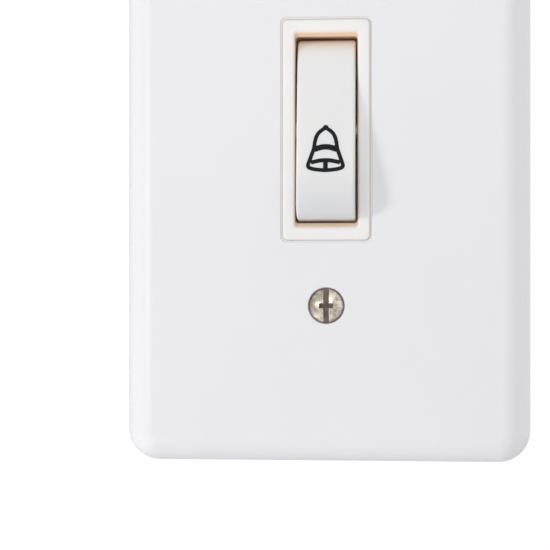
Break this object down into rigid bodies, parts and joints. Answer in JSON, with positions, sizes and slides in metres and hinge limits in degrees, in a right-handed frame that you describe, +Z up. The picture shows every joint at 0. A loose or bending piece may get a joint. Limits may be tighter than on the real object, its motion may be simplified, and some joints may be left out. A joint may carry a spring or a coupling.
{
  "type": "bell push wall switch",
  "caption": "One-gang wall plate with a narrow spring-return rocker bell push, its metal strap, moulded housing and screw terminals.",
  "frame": {"origin": "centre of the plate's rear rim, on the wall's surface", "axes": "+Z up, +X right as seen from the room, +Y into the wall box, front faces -Y"},
  "size_m": [0.0698, 0.0335, 0.1142],
  "materials": {
    "white_plate": "glossy moulded",
    "nickel_screw": "nickel plated",
    "zinc_strap": "zinc plated, pressed",
    "rivet_steel": "plated",
    "zinc_screw": "zinc plated",
    "fibre": "pressed fibre",
    "white_bezel": "glossy moulded",
    "white_rocker": "glossy moulded",
    "pin_steel": "ground",
    "grey_housing": "moulded, satin",
    "carrier_plastic": "moulded",
    "contact_brass": "stamped",
    "contact_silver": "pressed",
    "spring_steel": "drawn wire",
    "terminal_screw_steel": "plated",
    "clamp_steel": "plated"
  },
  "bodies": {
    "base": {"wall_plate": "white_plate", "plate_screws": "nickel_screw", "mounting_strap": "zinc_strap", "strap_rivets": "rivet_steel", "box_screws": "zinc_screw", "screw_retainers": "fibre", "bezel_frame": "white_bezel", "rocker_pin": "pin_steel", "switch_housing": "grey_housing", "return_spring": "spring_steel", "terminal_left": "contact_brass", "terminal_right": "contact_brass", "fixed_contacts": "contact_silver", "terminal_screws": "terminal_screw_steel", "clamp_plates": "clamp_steel"},
    "rocker": {"rocker": "white_rocker"},
    "carrier": {"contact_carrier": "carrier_plastic", "contact_spring": "spring_steel"},
    "bridge": {"contact_bridge": "contact_brass", "bridge_contacts": "contact_silver"}
  },
  "joints": [
    {"name": "rocker_push", "type": "hinge", "parent": "base", "child": "rocker", "pos_m": [0, -0.0037, 0], "axis": [1, 0, 0], "range_deg": [0, 12]},
    {"name": "carrier_slide", "type": "slide", "parent": "base", "child": "carrier", "axis": [0, 1, 0], "range_m": [0, 0.00196], "stiffness_N_per_m": 700, "springref_m": -0.002, "deforming": ["return_spring"]},
    {"name": "bridge_slide", "type": "slide", "parent": "carrier", "child": "bridge", "axis": [0, 1, 0], "range_m": [-0.00052, 0], "deforming": ["contact_spring"]}
  ],
  "couplings": [
    {"joint": "rocker_push", "follows": "carrier_slide", "rad_per_m": 107.07},
    {"joint": "bridge_slide", "follows": "carrier_slide", "ratio": -0.259}
  ]
}
